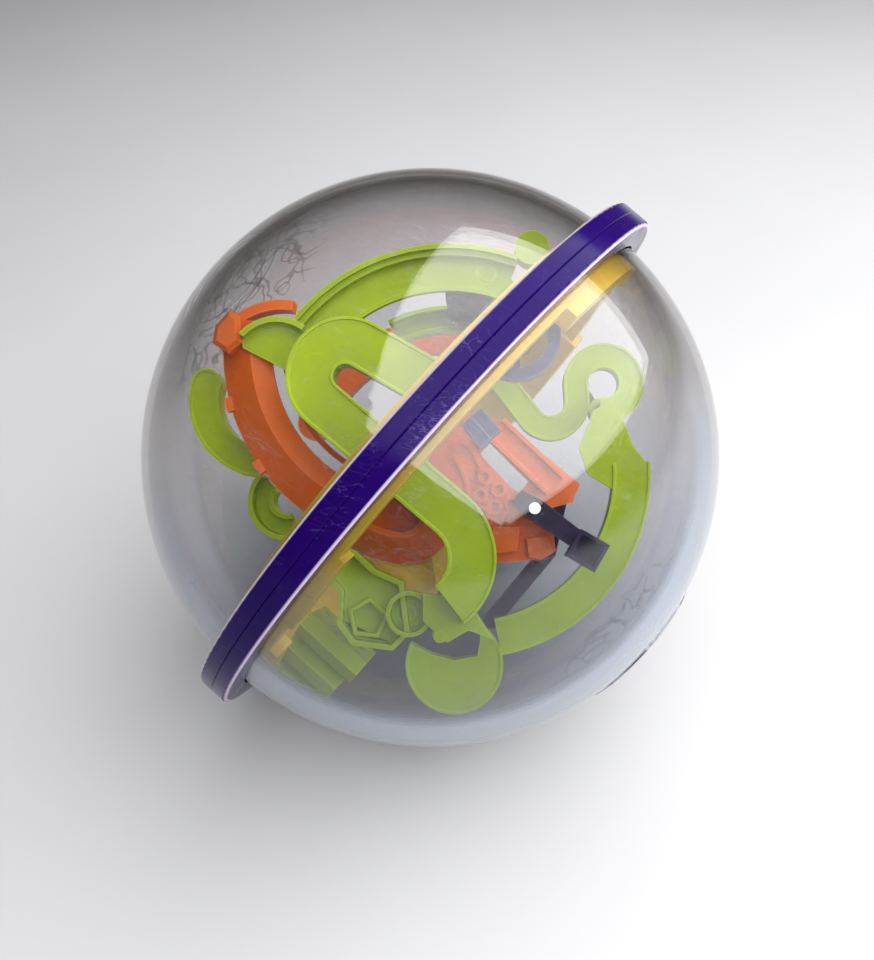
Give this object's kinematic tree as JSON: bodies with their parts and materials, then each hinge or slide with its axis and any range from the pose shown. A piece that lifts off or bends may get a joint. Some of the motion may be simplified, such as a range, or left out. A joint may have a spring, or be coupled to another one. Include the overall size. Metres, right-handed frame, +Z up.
{
  "type": "3d maze ball puzzle",
  "caption": "Clear domed ball with a raised equator band, holding a multi-level plastic marble maze with a spinner, a rocking lever and a steel ball.",
  "frame": {"origin": "centre of the ball", "axes": "+Z up as the ball lies at rest; the pole axis of the domes lies in the X-Z plane, its lower end towards +X; +Y lies in the plane of the band"},
  "size_m": [0.19, 0.208, 0.19],
  "materials": {
    "clear_dome": "clear plastic with fine scratches",
    "band_purple": "glossy",
    "maze_green": "satin gloss",
    "maze_orange": "satin gloss",
    "maze_yellow": "satin gloss",
    "maze_dark_purple": "glossy",
    "maze_slate": "satin",
    "steel": "polished"
  },
  "bodies": {
    "ball": {"band_half_a": "band_purple", "band_half_b": "band_purple", "band_screws": "steel", "bridge_bar": "maze_orange", "cross_bar": "maze_dark_purple", "curve_track": "maze_green", "deck": "maze_orange", "dome_a": "clear_dome", "dome_b": "clear_dome", "equator_frame": "maze_yellow", "finger_cup": "maze_green", "finger_track": "maze_green", "finish_cup": "maze_green", "hanging_pin": "maze_green", "inner_arc_track": "maze_green", "lever_pin": "steel", "link_tab": "maze_green", "prism_block": "maze_slate", "purple_strut": "maze_dark_purple", "rear_arc_track": "maze_orange", "rear_cup": "maze_yellow", "rear_loop_track": "maze_green", "rear_ramp": "maze_dark_purple", "snake_track": "maze_green", "spinner_axle": "maze_slate", "spinner_bracket": "maze_yellow", "stair_block": "maze_green", "star_tray": "maze_green", "start_rail": "maze_orange", "stop_block_far": "maze_orange", "stop_block_near": "maze_orange", "top_arc_track": "maze_green", "trough": "maze_orange", "trough_block": "maze_orange", "trough_cup": "maze_orange", "turn_basin": "maze_green", "wave_end_bracket": "maze_green", "wave_track": "maze_green", "yellow_shelf": "maze_yellow"},
    "spinner": {"spinner_wheel": "maze_slate"},
    "lever": {"lever": "maze_dark_purple"},
    "marble": {"marble": "steel"}
  },
  "joints": [
    {"name": "spinner_turn", "type": "hinge", "parent": "ball", "child": "spinner", "pos_m": [0.03094, -0.00131, 0.06063], "axis": [0.3517, -0.6334, 0.6893], "continuous": true},
    {"name": "lever_rock", "type": "hinge", "parent": "ball", "child": "lever", "pos_m": [0.04132, -0.00173, -0.00091], "axis": [0.3517, -0.6334, 0.6893], "range_deg": [-12, 12]},
    {"name": "marble_roll", "type": "slide", "parent": "ball", "child": "marble", "axis": [0.7543, -0.2443, -0.6094], "range_m": [-0.016, 0]}
  ]
}
